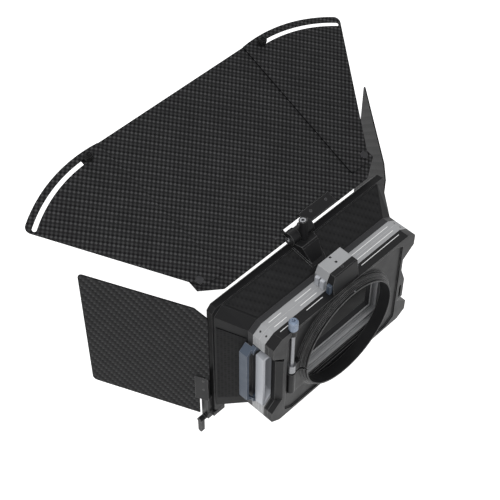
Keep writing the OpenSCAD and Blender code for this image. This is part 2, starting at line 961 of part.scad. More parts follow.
module flag_hinge_pin() {
    color([0.6, 0.6, 0.62])
        rod_along_x(-knuckle_x - 0.8, knuckle_x + 0.8, axis_y, axis_z, flag_pin_r);
}

// Places its children on the top flag: x along the hinge, y up the flag, z out of its upper face
module on_flag() {
    translate([0, axis_y, axis_z])
        rotate([-flag_tilt, 0, 0])
            mirror([0, 1, 0])
                children();
}

// A hinge leaf on the left of the flag; face is 1 on the upper face and -1 on the lower face
module hinge_leaf(face) {
    z0 = face > 0 ? sheet_t / 2 : -sheet_t / 2 - leaf_t;
    x0 = ear_hw + knuckle_gap;
    difference() {
        union() {
            rotate([0, 90, 0])
                translate([0, 0, x0])
                    cylinder(h = knuckle_x - x0, r = knuckle_r);
            translate([knuckle_x - 3, 0.5, z0])
                cube([leaf_l + 3, leaf_w, leaf_t]);
        }
        rotate([0, 90, 0])
            cylinder(h = 60, r = flag_pin_r + pin_fit);
        for (x = leaf_screw_x())
            translate([x, leaf_w / 2 + 2, z0 - 1])
                cylinder(h = leaf_t + 2, r = leaf_screw_r);
    }
}

leaf_screw_r = 1.2;
function leaf_screw_x() = [knuckle_x + leaf_l * 0.25, knuckle_x + leaf_l * 0.8];

module left_hinge_leaf() {
    color([0.14, 0.14, 0.15])
        on_flag()
            hinge_leaf(-1);
}

module right_hinge_leaf() {
    color([0.14, 0.14, 0.15])
        on_flag()
            mirror([1, 0, 0])
                hinge_leaf(1);
}

module leaf_screws() {
    color([0.2, 0.2, 0.21])
        on_flag()
            for (side = [1, -1])
                for (x = leaf_screw_x())
                    translate([side * x, leaf_w / 2 + 2, side > 0 ? -sheet_t / 2 - leaf_t : -sheet_t / 2])
                        cylinder(h = sheet_t + leaf_t, r = leaf_screw_r);
}

// Top flag and wings

function flag_side() = concat(
    arc(flag_hw - 5, flag_l - 5, 5, 90, 0),
    [[flag_hw, flag_shoulder_v], [flag_shoulder_u, 0], [cut_u, 0], [cut_u, cut_v]]
);

module top_flag_sheet() {
    color([0.08, 0.08, 0.085])
        on_flag()
            difference() {
                translate([0, 0, -sheet_t / 2])
                    linear_extrude(sheet_t)
                        polygon(concat(flag_side(), flip(flag_side())));
                for (side = [1, -1]) {
                    translate([side * wing_pivot_u, wing_pivot_v, -2])
                        cylinder(h = 4, r = rivet_r);
                    translate([side * knob_u, knob_v, -2])
                        cylinder(h = 4, r = stud_r + pin_fit);
                    for (x = leaf_screw_x())
                        translate([side * x, leaf_w / 2 + 2, -2])
                            cylinder(h = 4, r = leaf_screw_r);
                }
            }
}

// Outline of the left wing, anticlockwise from the corner beside its pivot
function wing_points() =
    let (
        edge = [cos(wing_angle), -sin(wing_angle)],
        along = [sin(wing_angle), cos(wing_angle)],
        tip_r = 6.5,
        edge_off = 4.2,
        corner_r = wing_pivot_v - wing_base_v,
        corner_u = wing_pivot_u - (corner_r - edge_off) / edge[0],
        tip = [wing_pivot_u, wing_pivot_v] + (wing_r - tip_r) * along + (edge_off - tip_r) * edge,
        inner_u = wing_pivot_u - 15.5
    )
    concat(
        arc(corner_u, wing_pivot_v, corner_r, -90, -wing_angle),
        arc(tip[0], tip[1], tip_r, -wing_angle, 90 - wing_angle),
        arc(wing_pivot_u, wing_pivot_v, wing_r, 91 - wing_angle, 95.7, 24),
        arc(inner_u - 5, wing_base_v + 3, 3, 180, 270, 4)
    );

module wing_slot() {
    steps = 24;
    a0 = 90 - knob_angle + 0.3;
    a1 = 90 - slot_end_angle;
    translate([wing_pivot_u, wing_pivot_v]) {
        polygon(concat(
            arc(0, 0, slot_r + slot_w / 2, a0, a1, steps),
            arc(0, 0, slot_r - slot_w / 2, a1, a0, steps)
        ));
        for (a = [a0, a1])
            translate([slot_r * cos(a), slot_r * sin(a)])
                circle(d = slot_w, $fn = 32);
    }
}

module wing() {
    color([0.08, 0.08, 0.085])
        difference() {
            translate([0, 0, wing_w0])
                linear_extrude(sheet_t)
                    difference() {
                        polygon(wing_points());
                        wing_slot();
                    }
            translate([wing_pivot_u, wing_pivot_v, 0])
                cylinder(h = 4, r = rivet_r + pin_fit);
        }
}

module left_wing() {
    on_flag()
        wing();
}

module right_wing() {
    on_flag()
        mirror([1, 0, 0])
            wing();
}

module wing_rivets() {
    color([0.2, 0.2, 0.21])
        on_flag()
            for (side = [1, -1])
                translate([side * wing_pivot_u, wing_pivot_v, 0]) {
                    translate([0, 0, -sheet_t / 2 - 0.8])
                        cylinder(h = 0.8, r = rivet_r + 1.6);
                    translate([0, 0, -sheet_t / 2 - 0.4])
                        cylinder(h = wing_w0 + 1.5 * sheet_t + 0.8, r = rivet_r);
                    translate([0, 0, sheet_t / 2])
                        cylinder(h = pass_gap - 0.05, r = rivet_r + 1.6);
                    translate([0, 0, wing_w0 + sheet_t + 0.1])
                        cylinder(h = 0.8, r = rivet_r + 1.6);
                }
}

module wing_nuts() {
    color([0.25, 0.25, 0.26])
        on_flag()
            for (side = [1, -1])
                translate([side * knob_u, knob_v, -sheet_t / 2 - 2.6])
                    difference() {
                        cylinder(h = 2.6, r = 3.2, $fn = 6);
                        translate([0, 0, -1])
                            cylinder(h = 5, r = stud_r + pin_fit);
                    }
}

module wing_knob() {
    base = wing_w0 + sheet_t + 0.1;
    color([0.07, 0.07, 0.075])
        on_flag()
            translate([knob_u, knob_v, 0]) {
                translate([0, 0, -sheet_t / 2 - 3.2])
                    cylinder(h = base + sheet_t / 2 + 3.6, r = stud_r);
                translate([0, 0, base])
                    cylinder(h = 1.2, r = wing_knob_d / 2 - 0.8);
                translate([0, 0, base + 1.2])
                    cylinder(h = wing_knob_h - 2, r = wing_knob_d / 2);
                translate([0, 0, base + wing_knob_h - 0.8])
                    cylinder(h = 0.8, r1 = wing_knob_d / 2, r2 = wing_knob_d / 2 - 0.8);
            }
}

module left_wing_knob() {
    wing_knob();
}

module right_wing_knob() {
    mirror([1, 0, 0])
        wing_knob();
}

// Side flags

// Places its children on a left side flag: x along the flag, y out of its outer face, z up
module on_side_flag(open) {
    translate([side_axis_x, side_axis_y, 0])
        rotate([0, 0, open - 90])
            children();
}

module side_flag(open) {
    color([0.08, 0.08, 0.085])
        on_side_flag(open)
            translate([0, sheet_out, 0])
                rotate([90, 0, 0])
                    linear_extrude(sheet_t)
                        polygon(concat(
                            [[sheet_in - sheet_lap,
                              side_flag_top - corner_drop * (1 + sheet_lap / corner_run)]],
                            [[sheet_in - sheet_lap, leaf_top_z]],
                            [[sheet_in + leaf_end, leaf_top_z], [sheet_in + leaf_end, notch_z]],
                            [[notch_u, notch_z], [notch_u, -side_flag_low]],
                            arc(side_flag_l - 5, -side_flag_low + 5, 5, -90, 0),
                            arc(side_flag_l - 5, side_flag_top - 5, 5, 0, 90),
                            [[sheet_in + corner_run, side_flag_top]]
                        ));
}

// The leaf folds round the sheet's edge and carries the knuckle behind it
module side_leaf(open) {
    color([0.15, 0.15, 0.16])
        on_side_flag(open)
            difference() {
                along_z(notch_z, leaf_top_z) {
                    circle(r = side_knuckle_r);
                    translate([sheet_in, sheet_out])
                        square([leaf_u - sheet_in, leaf_out - sheet_out]);
                    translate([sheet_in, side_knuckle_r])
                        square([leaf_end, leaf_out - side_knuckle_r]);
                    translate([sheet_in, side_knuckle_r])
                        square([4 - sheet_in, back_t]);
                    translate([-1.5, 1])
                        square([3, side_knuckle_r]);
                }
                along_z(notch_z - 1, leaf_top_z + 1)
                    circle(r = side_pin_r + pin_fit);
                for (z = leaf_rivet_z)
                    translate([leaf_rivet_u, leaf_out + 1, z])
                        rotate([90, 0, 0])
                            cylinder(h = leaf_out - sheet_out + 1, r = 1);
            }
}

leaf_rivet_u = 0.2;
leaf_rivet_z = [leaf_top_z - 5, leaf_top_z - 18.5];

module side_rivets(open) {
    color([0.3, 0.3, 0.31])
        on_side_flag(open)
            for (z = leaf_rivet_z)
                translate([leaf_rivet_u, leaf_out, z])
                    rotate([90, 0, 0])
                        cylinder(h = leaf_out - sheet_out, r = 1);
}

// The side pins end above the lever screws
pin_low_z = notch_z - 20;

module side_pin() {
    color([0.6, 0.6, 0.62])
        translate([side_axis_x, side_axis_y, pin_low_z])
            cylinder(h = leaf_top_z - pin_low_z - 0.5, r = side_pin_r);
}

module side_bracket() {
    post_y0 = side_axis_y - 3.1;
    post_x0 = frame_hw + pass_gap;
    inner_x = frame_hw - 13;
    outer_x = side_axis_x + 3.7;
    low_z = lever_z - 2.6;
    color([0.1, 0.1, 0.11])
        difference() {
            union() {
                translate([inner_x, post_y0, low_z + 2.5])
                    cube([post_x0 + 1 - inner_x, 11.5, bracket_top_z - low_z - 2.5]);
                translate([post_x0 - 2, post_y0, low_z])
                    cube([outer_x - post_x0 + 2, 8.5, bracket_top_z - low_z]);
                translate([post_x0, post_y0, low_z])
                    cube([outer_x - post_x0, 8, notch_z - pass_gap - low_z]);
                rod_along_x(outer_x - 1, barrel_x, lever_y, lever_z, lever_barrel_r);
            }
            translate([side_axis_x, side_axis_y, pin_low_z - 0.1])
                cylinder(h = 30, r = side_pin_r);
            rod_along_x(post_x0 + 1, barrel_x + 1, lever_y, lever_z, lever_screw_d / 2 + pin_fit);
        }
}

module lever() {
    head_t = 5.8;
    x0 = barrel_x + 0.1;
    color([0.09, 0.09, 0.1]) {
        rod_along_x(frame_hw + pass_gap + 1.2, x0 + 1, lever_y, lever_z, lever_screw_d / 2);
        rod_along_x(x0, x0 + head_t, lever_y, lever_z, lever_barrel_r);
        along_x(x0 + 1, x0 + head_t - 0.6)
            translate([lever_y, lever_z])
                hull() {
                    circle(r = lever_barrel_r - 0.3, $fn = 32);
                    translate([0, -lever_l])
                        circle(r = 2.4, $fn = 32);
                }
    }
}

module left_side_flag() { side_flag(left_open); }
module left_side_leaf() { side_leaf(left_open); }
module left_side_pin() { side_pin(); }
module left_side_bracket() { side_bracket(); }
module left_lever() { lever(); }
module side_leaf_rivets_left() { side_rivets(left_open); }

module right_side_flag() { mirror([1, 0, 0]) side_flag(right_open); }
module right_side_leaf() { mirror([1, 0, 0]) side_leaf(right_open); }
module right_side_pin() { mirror([1, 0, 0]) side_pin(); }
module right_side_bracket() { mirror([1, 0, 0]) side_bracket(); }
module right_lever() { mirror([1, 0, 0]) lever(); }
module side_leaf_rivets_right() { mirror([1, 0, 0]) side_rivets(right_open); }

hood_front_frame();
hood_shell();
hood_top_panel();
hood_bottom_panel();
hood_left_panel();
hood_right_panel();
hood_rear_frame();
front_filter_stage();
middle_filter_stage();
clamp_stage();
corner_screws();
front_tray();
front_grip();
middle_tray();
middle_grip();
rear_tray();
rear_grip();
lens_clamp_ring();
ring_set_screw();
clamp_bush();
clamp_rod();
clamp_knob();
strap_lug();
lock_housing();
rear_lock_housing();
lock_housing_screws();
front_lock_bar();
middle_lock_bar();
rear_lock_bar();
flag_bracket();
bracket_plate();
flag_hinge_pin();
lock_post();
post_screw();
left_hinge_leaf();
right_hinge_leaf();
leaf_screws();
top_flag_sheet();
left_wing();
right_wing();
wing_rivets();
wing_nuts();
left_wing_knob();
right_wing_knob();
left_side_flag();
left_side_leaf();
left_side_pin();
left_side_bracket();
left_lever();
right_side_flag();
right_side_leaf();
right_side_pin();
right_side_bracket();
right_lever();
side_leaf_rivets_left();
side_leaf_rivets_right();
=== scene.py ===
"""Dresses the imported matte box: carbon weave, anodised metal, knurled knobs and a soft studio."""

import math

import bmesh
import bpy
from bpy.props import (
    FloatProperty, FloatVectorProperty, IntProperty, PointerProperty,
)
from mathutils import Matrix, Vector


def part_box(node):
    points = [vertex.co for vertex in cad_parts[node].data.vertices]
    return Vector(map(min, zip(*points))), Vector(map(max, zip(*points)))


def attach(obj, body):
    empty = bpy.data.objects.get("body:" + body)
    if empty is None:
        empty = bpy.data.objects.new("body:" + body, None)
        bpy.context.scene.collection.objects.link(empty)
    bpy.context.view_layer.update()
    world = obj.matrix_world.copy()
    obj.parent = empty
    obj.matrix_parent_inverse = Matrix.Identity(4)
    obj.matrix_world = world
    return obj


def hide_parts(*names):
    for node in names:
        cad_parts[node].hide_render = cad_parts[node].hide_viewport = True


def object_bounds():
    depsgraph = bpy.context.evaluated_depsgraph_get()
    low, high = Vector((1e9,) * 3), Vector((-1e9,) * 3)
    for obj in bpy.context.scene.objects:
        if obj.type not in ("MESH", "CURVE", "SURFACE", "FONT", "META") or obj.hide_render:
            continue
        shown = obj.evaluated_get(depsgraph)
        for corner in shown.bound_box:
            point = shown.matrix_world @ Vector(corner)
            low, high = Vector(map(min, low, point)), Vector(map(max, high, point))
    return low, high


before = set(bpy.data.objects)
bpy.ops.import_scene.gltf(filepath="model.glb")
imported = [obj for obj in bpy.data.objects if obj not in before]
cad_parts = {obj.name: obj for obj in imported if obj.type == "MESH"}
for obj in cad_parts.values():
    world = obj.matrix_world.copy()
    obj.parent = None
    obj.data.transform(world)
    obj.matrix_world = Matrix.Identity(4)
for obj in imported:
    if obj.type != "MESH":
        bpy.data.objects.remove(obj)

bl_info = {
    "name": "Matte Box",
    "version": (1, 0, 0),
    "blender": (4, 5, 0),
    "location": "3D View > Sidebar > Matte Box",
    "description": "Finishes and small parts of a matte box with carbon flags",
    "category": "Object",
}

MM = 0.001
CAD_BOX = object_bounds()

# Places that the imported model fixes
FLAG_TILT = math.radians(20.3)
FLAG_AXIS = Vector((0, -0.0692, 0.0878))
WING_PIVOT = Vector((0.1075, 0.0192, 0))
SLOT_RADIUS = 0.148
KNOB_ANGLE = math.radians(0.8)
SHEET = 0.0012
WING_FACE = SHEET * 1.5 + 0.0004
LEFT_OPEN = math.radians(24.5)
RIGHT_OPEN = math.radians(38.9)
STAGE_TOP = 0.0628

# Lightness of the twill's four places, as each sheet shows them. The right side flag is the same
# fabric as the left one, darkened to stand for the shade that it lies in
# Painted light and shade: the sheets are one fabric, and each table paints in the sheen and shade that its
# sheet catches, darker on the hood's cheeks and on the right side flag
TOP_LEVELS = (0.0, 1.1, 0.1, 0.66)
SIDE_LEVELS = (0.08, 0.0, 0.8, 0.45)
RIGHT_LEVELS = (0.04, 0.0, 0.3, 0.2)
DECK_LEVELS = (0.12, 0.26, 0.3, 0.2)
CHEEK_LEVELS = (0.06, 0.12, 0.16, 0.1)

# How deep the weave stands in a sheet and in an inlaid panel
SHEET_WEAVE = 0.08 * MM
PANEL_WEAVE = 0.04 * MM

# The camera's place, sideways shift and sensor width in mm, worked out with its lens and angles
CAMERA_PLACE = Vector((0.576659, 0.437242, 0.962132))
CAMERA_SHIFT = -0.00046
SENSOR = 36

# Each lamp's name, place, width and height, and share of the key light's power
LAMPS = (
    ("Key", (0.55, 0.5, 1.25), (1.1, 1.1), 1.0),
    ("Left fill", (1.3, -0.5, 0.55), (0.9, 0.9), 0.14),
    ("Front fill", (-0.4, -1.3, 0.9), (1.2, 0.8), 0.35),
)
LAMP_TARGET = (0, -0.08, 0.02)
FLOOR_DROP = 0.16
FLOOR_GLOW = 0.7


def screen(red, green, blue):
    """A colour as read off a screen, 0 to 255, as linear values."""
    def channel(value):
        value /= 255
        return value / 12.92 if value <= 0.04045 else ((value + 0.055) / 1.055) ** 2.4
    return channel(red), channel(green), channel(blue)


def tint(title, about, colour):
    return FloatVectorProperty(
        name=title, description=about, subtype="COLOR", size=3, min=0, max=1, default=colour)


def length(title, about, size):
    return FloatProperty(
        name=title, description=about, unit="LENGTH", subtype="DISTANCE", default=size, precision=5)


class MATTEBOX_PG_carbon(bpy.types.PropertyGroup):
    tow: length("Tow width", "Width of a tow in the top flag and the hood's inlays", 2.73 * MM)
    side_tow: length("Side tow width", "Width of a tow in the side flags", 2.69 * MM)
    # The weave's light and dark are painted sheen and shade: a tow's crown catching the light, and the
    # shade between tows, whose lightness the seam sets
    light: tint("Light tow", "Colour of a tow at its brightest", screen(71, 71, 72))
    dark: tint("Dark tow", "Colour of a tow at its darkest", screen(9, 9, 10))
    seam: FloatProperty(
        name="Seam", description="Lightness between the crowns of the tows", default=0.24, min=0, max=1)


class MATTEBOX_PG_metal(bpy.types.PropertyGroup):
    black: tint("Black", "Black anodised clamp stage, ring and brackets", screen(25, 25, 26))
    grey: tint("Grey", "Grey anodised filter stages and lock housing", screen(152, 153, 155))
    pale: tint("Pale", "Pale anodised middle grip and lock bars", screen(178, 181, 187))
    blue: tint("Blue grey", "Blue-grey anodised front grip", screen(60, 71, 86))
    knob: tint("Knob", "Blue-grey clamp knob", screen(112, 126, 146))
    steel: tint("Steel", "Bare steel of rods, pins and the bush", screen(136, 137, 140))
    dark_steel: tint("Dark steel", "Blackened screws and rivets", screen(48, 48, 50))
    # Painted highlight: the rear frame is painted lighter than the hood, for the light band along its
    # ridge
    rim: tint("Rear frame", "Dark grey of the hood's rear frame", screen(44, 44, 46))
    hood: tint("Hood", "Matt black of the hood's frames", screen(24, 24, 25))
    wing_knob: tint("Wing knobs", "Black of the wing knobs", screen(9, 9, 10))


class MATTEBOX_PG_knobs(bpy.types.PropertyGroup):
    clamp_ribs: IntProperty(
        name="Clamp knob ribs", description="Ribs round the clamp knob", default=26, min=8)
    wing_ribs: IntProperty(
        name="Wing knob ribs", description="Ribs round a wing knob", default=28, min=8)
    rib_depth: length("Rib depth", "Depth of the grooves between the ribs", 0.28 * MM)


class MATTEBOX_PG_lines(bpy.types.PropertyGroup):
    width: length("Line width", "Width of the white index lines", 0.65 * MM)
    proud: length("Line height", "How far the lines stand proud of the stages", 0.05 * MM)
    ink: tint("Ink", "Colour of the index lines", screen(238, 238, 238))


class MATTEBOX_PG_studio(bpy.types.PropertyGroup):
    lens: FloatProperty(
        name="Lens", description="Focal length of the camera on a 36 mm sensor, in mm", default=92.449)
    azimuth: FloatProperty(
        name="Azimuth", description="Direction of the camera", subtype="ANGLE",
        default=math.radians(134.564))
    elevation: FloatProperty(
        name="Elevation", description="Height of the camera above the horizon", subtype="ANGLE",
        default=math.radians(49.61))
    roll: FloatProperty(
        name="Roll", description="Turn of the camera about its own axis", subtype="ANGLE",
        default=math.radians(0.296))
    floor: tint("Floor", "Colour of the floor", (0.9, 0.9, 0.9))
    key_power: FloatProperty(
        name="Key light", description="Power of the key light in watts", unit="POWER", default=15)
    fill: FloatProperty(
        name="Fill", description="Strength of the even light from all round", default=0.36, min=0)


# Node groups

def feed(tree, socket, value):
    """Gives a socket a plain value, or a link where the value is another socket."""
    if isinstance(value, bpy.types.NodeSocket):
        tree.links.new(value, socket)
    else:
        socket.default_value = value


def calc(tree, operation, *values):
    node = tree.nodes.new("ShaderNodeMath")
    node.operation = operation
    for socket, value in zip(node.inputs, values):
        feed(tree, socket, value)
    return node.outputs[0]


def backdrop_rays(tree):
    """One for the rays that show the backdrop, straight or in a reflection, and else nothing."""
    rays = tree.nodes.new("ShaderNodeLightPath")
    mirrored = calc(tree, "MAXIMUM", rays.outputs["Is Glossy Ray"], rays.outputs["Is Transmission Ray"])
    return calc(tree, "MAXIMUM", rays.outputs["Is Camera Ray"], mirrored)


def ramp(tree, value, low, high, out_low=0.0, out_high=1.0):
    node = tree.nodes.new("ShaderNodeMapRange")
    for name, number in (("From Min", low), ("From Max", high), ("To Min", out_low), ("To Max", out_high)):
        node.inputs[name].default_value = number
    feed(tree, node.inputs["Value"], value)
    return node.outputs[0]


def blend_colour(tree, factor, first, second):
    node = tree.nodes.new("ShaderNodeMix")
    node.data_type = "RGBA"
    feed(tree, node.inputs["Factor"], factor)
    feed(tree, node.inputs["A"], first)
    feed(tree, node.inputs["B"], second)
    return node.outputs["Result"]


def noise(tree, vector, scale, detail=3.0, roughness=0.5):
    node = tree.nodes.new("ShaderNodeTexNoise")
    feed(tree, node.inputs["Vector"], vector)
    node.inputs["Scale"].default_value = scale
    node.inputs["Detail"].default_value = detail
    node.inputs["Roughness"].default_value = roughness
    return node.outputs["Fac"]


def start_group(name, inputs, outputs):
    """An empty node group with the sockets given as (name, kind, default)."""
    group = bpy.data.node_groups.new(name, "ShaderNodeTree")
    for title, kind, default in inputs:
        socket = group.interface.new_socket(name=title, in_out="INPUT", socket_type=kind)
        if default is not None:
            socket.default_value = default
    for title, kind in outputs:
        group.interface.new_socket(name=title, in_out="OUTPUT", socket_type=kind)
    entry = group.nodes.new("NodeGroupInput")
    leave = group.nodes.new("NodeGroupOutput")
    return group, entry.outputs, leave.inputs


def weave_group():
    """Two-by-two twill, whose four places in the repeat each have their own lightness; sheen is painted on
    the tows.
    """
    name = "Woven carbon"
    if name in bpy.data.node_groups:
        return bpy.data.node_groups[name]
    places = ("First", "Second", "Third", "Fourth")
    group, given, out = start_group(
        name,
        [("Vector", "NodeSocketVector", None), ("Tow Width", "NodeSocketFloat", 0.00273),
         ("Lean", "NodeSocketFloat", 1.0), ("Light", "NodeSocketColor", (0.1, 0.1, 0.1, 1)),
         ("Dark", "NodeSocketColor", (0.02, 0.02, 0.02, 1)), ("Seam", "NodeSocketFloat", 0.3)]
        + [(place, "NodeSocketFloat", 0.5) for place in places],
        [("Color", "NodeSocketColor"), ("Height", "NodeSocketFloat"), ("Roughness", "NodeSocketFloat")],
    )
    split = group.nodes.new("ShaderNodeSeparateXYZ")
    feed(group, split.inputs[0], given["Vector"])
    across = calc(group, "DIVIDE", split.outputs["X"], given["Tow Width"])
    along = calc(group, "DIVIDE", split.outputs["Y"], given["Tow Width"])
    row = calc(group, "MULTIPLY", calc(group, "FLOOR", along), given["Lean"])
    column = calc(group, "SUBTRACT", calc(group, "FLOOR", across), row)
    step = calc(group, "FLOORED_MODULO", column, float(len(places)))
    level = 0.0
    for number, place in enumerate(places):
        here = calc(group, "COMPARE", step, float(number), 0.5)
        level = calc(group, "MULTIPLY_ADD", here, given[place], level)
    round_x = calc(group, "SINE", calc(group, "MULTIPLY", calc(group, "FRACT", across), math.pi))
    round_y = calc(group, "SINE", calc(group, "MULTIPLY", calc(group, "FRACT", along), math.pi))
    crown = calc(group, "POWER", calc(group, "MULTIPLY", round_x, round_y), 0.8)
    # Painted highlight on each tow's crown and painted shade between the crowns, where every place has the
    # lightness of the seams
    bright = calc(
        group, "MULTIPLY_ADD", crown, calc(group, "SUBTRACT", level, given["Seam"]), given["Seam"])
    fibres = noise(group, given["Vector"], 2600.0, 2.0)
    drift = noise(group, given["Vector"], 60.0, 3.0)
    bright = calc(group, "MULTIPLY", bright, ramp(group, fibres, 0.3, 0.7, 0.85, 1.15))
    bright = calc(group, "MULTIPLY", bright, ramp(group, drift, 0.3, 0.7, 0.86, 1.14))
    feed(group, out["Color"], blend_colour(group, bright, given["Dark"], given["Light"]))
    feed(group, out["Height"], crown)
    feed(group, out["Roughness"], ramp(group, bright, 0, 1, 0.6, 0.45))
    return group


def grain_group():
    """Fine bead-blasted grain with faint handling marks."""
    name = "Blasted grain"
    if name in bpy.data.node_groups:
        return bpy.data.node_groups[name]
    group, given, out = start_group(
        name,
        [("Vector", "NodeSocketVector", None), ("Grain", "NodeSocketFloat", 2400.0)],
        [("Height", "NodeSocketFloat"), ("Marks", "NodeSocketFloat")],
    )
    fine = group.nodes.new("ShaderNodeTexNoise")
    feed(group, fine.inputs["Vector"], given["Vector"])
    feed(group, fine.inputs["Scale"], given["Grain"])
    fine.inputs["Detail"].default_value = 2.0
    coarse = noise(group, given["Vector"], 38.0, 4.0, 0.6)
    feed(group, out["Height"], fine.outputs["Fac"])
    feed(group, out["Marks"], ramp(group, coarse, 0.35, 0.68))
    return group


def edge_group():
    """Softens hard edges and marks them for a painted highlight."""
    name = "Soft edges"
    if name in bpy.data.node_groups:
        return bpy.data.node_groups[name]
    group, given, out = start_group(
        name,
        [("Vector", "NodeSocketVector", None), ("Radius", "NodeSocketFloat", 0.0005)],
        [("Normal", "NodeSocketVector"), ("Painted Highlight", "NodeSocketFloat")],
    )
    rounded = group.nodes.new("ShaderNodeBevel")
    rounded.samples = 6
    feed(group, rounded.inputs["Radius"], given["Radius"])
    flat = group.nodes.new("ShaderNodeNewGeometry")
    meet = group.nodes.new("ShaderNodeVectorMath")
    meet.operation = "DOT_PRODUCT"
    feed(group, meet.inputs[0], rounded.outputs[0])
    feed(group, meet.inputs[1], flat.outputs["Normal"])
    # The bend of the rounded normal marks the edges for the painted highlight, made patchy by noise
    bend = ramp(group, meet.outputs["Value"], 0.995, 0.86)
    highlight_patches = ramp(group, noise(group, given["Vector"], 190.0, 4.0, 0.65), 0.3, 0.6, 0.45, 1.0)
    feed(group, out["Normal"], rounded.outputs[0])
    feed(group, out["Painted Highlight"], calc(group, "MULTIPLY", bend, highlight_patches))
    return group


def place_group(tree, group, **values):
    node = tree.nodes.new("ShaderNodeGroup")
    node.node_tree = group
    for name, value in values.items():
        feed(tree, node.inputs[name.replace("_", " ")], value)
    return node.outputs


# Materials

def start_material(name):
    material = bpy.data.materials.new(name)
    material.use_nodes = True
    tree = material.node_tree
    shader = tree.nodes["Principled BSDF"]
    where = tree.nodes.new("ShaderNodeTexCoord")
    return material, tree, shader, where.outputs["Object"]


def bump(tree, height, distance, strength=1.0, normal=None):
    node = tree.nodes.new("ShaderNodeBump")
    node.inputs["Distance"].default_value = distance
    node.inputs["Strength"].default_value = strength
    feed(tree, node.inputs["Height"], height)
    if normal is not None:
        tree.links.new(normal, node.inputs["Normal"])
    return node.outputs[0]


def opaque(colour):
    return (*colour, 1.0)


def carbon(name, turn, look, levels, lean, depth=SHEET_WEAVE, side=False):
    """Woven carbon laid in the plane that the rotation turn brings flat."""
    shine, shadow_edge_facing = 0.06, 0.6
    material, tree, shader, place = start_material(name)
    lay = tree.nodes.new("ShaderNodeMapping")
    lay.vector_type = "POINT"
    lay.inputs["Rotation"].default_value = turn
    feed(tree, lay.inputs["Vector"], place)
    first, second, third, fourth = levels
    weave = place_group(
        tree, weave_group(), Vector=lay.outputs[0], Tow_Width=look.side_tow if side else look.tow,
        Lean=lean, Light=opaque(look.light), Dark=opaque(look.dark), Seam=look.seam,
        First=first, Second=second, Third=third, Fourth=fourth)
    # The sheet's cut edges take the dark tow colour: the black of a cut edge, deepened into a painted
    # shadow along the sheet's thickness
    facing = tree.nodes.new("ShaderNodeMapping")
    facing.vector_type = "NORMAL"
    facing.inputs["Rotation"].default_value = turn
    flat = tree.nodes.new("ShaderNodeTexCoord")
    feed(tree, facing.inputs["Vector"], flat.outputs["Normal"])
    split = tree.nodes.new("ShaderNodeSeparateXYZ")
    feed(tree, split.inputs[0], facing.outputs[0])
    edge = calc(tree, "LESS_THAN", calc(tree, "ABSOLUTE", split.outputs["Z"]), shadow_edge_facing)
    feed(tree, shader.inputs["Base Color"], blend_colour(
        tree, edge, weave["Color"], opaque(look.dark)))
    feed(tree, shader.inputs["Roughness"], weave["Roughness"])
    feed(tree, shader.inputs["Normal"], bump(tree, weave["Height"], depth, 0.5))
    shader.inputs["Specular IOR Level"].default_value = shine
    return material


def painted_highlight_colour(colour, amount):
    """A lighter version of a colour, for a painted highlight on an edge."""
    return tuple(value + (1 - value) * amount for value in colour)


def dimmed(colour, share):
    """A darker version of a colour, as on a handled face."""
    return tuple(value * share for value in colour)


def anodised(
        name, colour, edge=0.25, metallic=0.2, rough=0.45, radius=0.5 * MM, grain=2400.0, shine=0.5):
    """Blasted and anodised metal, with a painted highlight on its edges and dim where hands have been."""
    material, tree, shader, place = start_material(name)
    blast = place_group(tree, grain_group(), Vector=place, Grain=grain)
    soft = place_group(tree, edge_group(), Vector=place, Radius=radius)
    # Painted highlight: the edges are lightened by the share edge, patchy along their length
    edge_highlighted = blend_colour(tree, soft["Painted Highlight"], opaque(colour), opaque(painted_highlight_colour(colour, edge)))
    handled = calc(tree, "MULTIPLY", blast["Marks"], 0.22)
    feed(tree, shader.inputs["Base Color"], blend_colour(
        tree, handled, edge_highlighted, opaque(dimmed(colour, 0.72))))
    feed(tree, shader.inputs["Roughness"], ramp(tree, blast["Marks"], 0, 1, rough - 0.05, rough + 0.08))
    feed(tree, shader.inputs["Normal"], bump(tree, blast["Height"], 0.02 * MM, 0.6, soft["Normal"]))
    shader.inputs["Metallic"].default_value = metallic
    shader.inputs["Specular IOR Level"].default_value = shine
    return material


def turned_steel(name, colour, along, rough=0.28):
    """Steel whose fine turning lines are stretched by the scale along in each direction."""
    material, tree, shader, place = start_material(name)
    stretch = tree.nodes.new("ShaderNodeMapping")
    stretch.inputs["Scale"].default_value = along
    feed(tree, stretch.inputs["Vector"], place)
    lines = noise(tree, stretch.outputs[0], 900.0, 3.0)
    soft = place_group(tree, edge_group(), Vector=place, Radius=0.25 * MM)
    feed(tree, shader.inputs["Base Color"], blend_colour(
        tree, ramp(tree, lines, 0.35, 0.65), opaque(dimmed(colour, 0.8)), opaque(colour)))
    feed(tree, shader.inputs["Roughness"], ramp(tree, lines, 0.3, 0.7, rough, rough + 0.16))
    feed(tree, shader.inputs["Normal"], bump(tree, lines, 0.01 * MM, 0.5, soft["Normal"]))
    shader.inputs["Metallic"].default_value = 0.85
    return material


def ink(name, colour):
    material, tree, shader, place = start_material(name)
    patchy = noise(tree, place, 900.0, 3.0)
    feed(tree, shader.inputs["Base Color"], blend_colour(
        tree, ramp(tree, patchy, 0.25, 0.75), opaque(dimmed(colour, 0.88)), opaque(colour)))
    feed(tree, shader.inputs["Roughness"], ramp(tree, patchy, 0.3, 0.7, 0.5, 0.7))
    return material


def dress(material, *nodes):
    """Puts a material on CAD nodes that keep their shape."""
    for name in nodes:
        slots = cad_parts[name].data.materials
        slots.clear()
        slots.append(material)


# New pieces

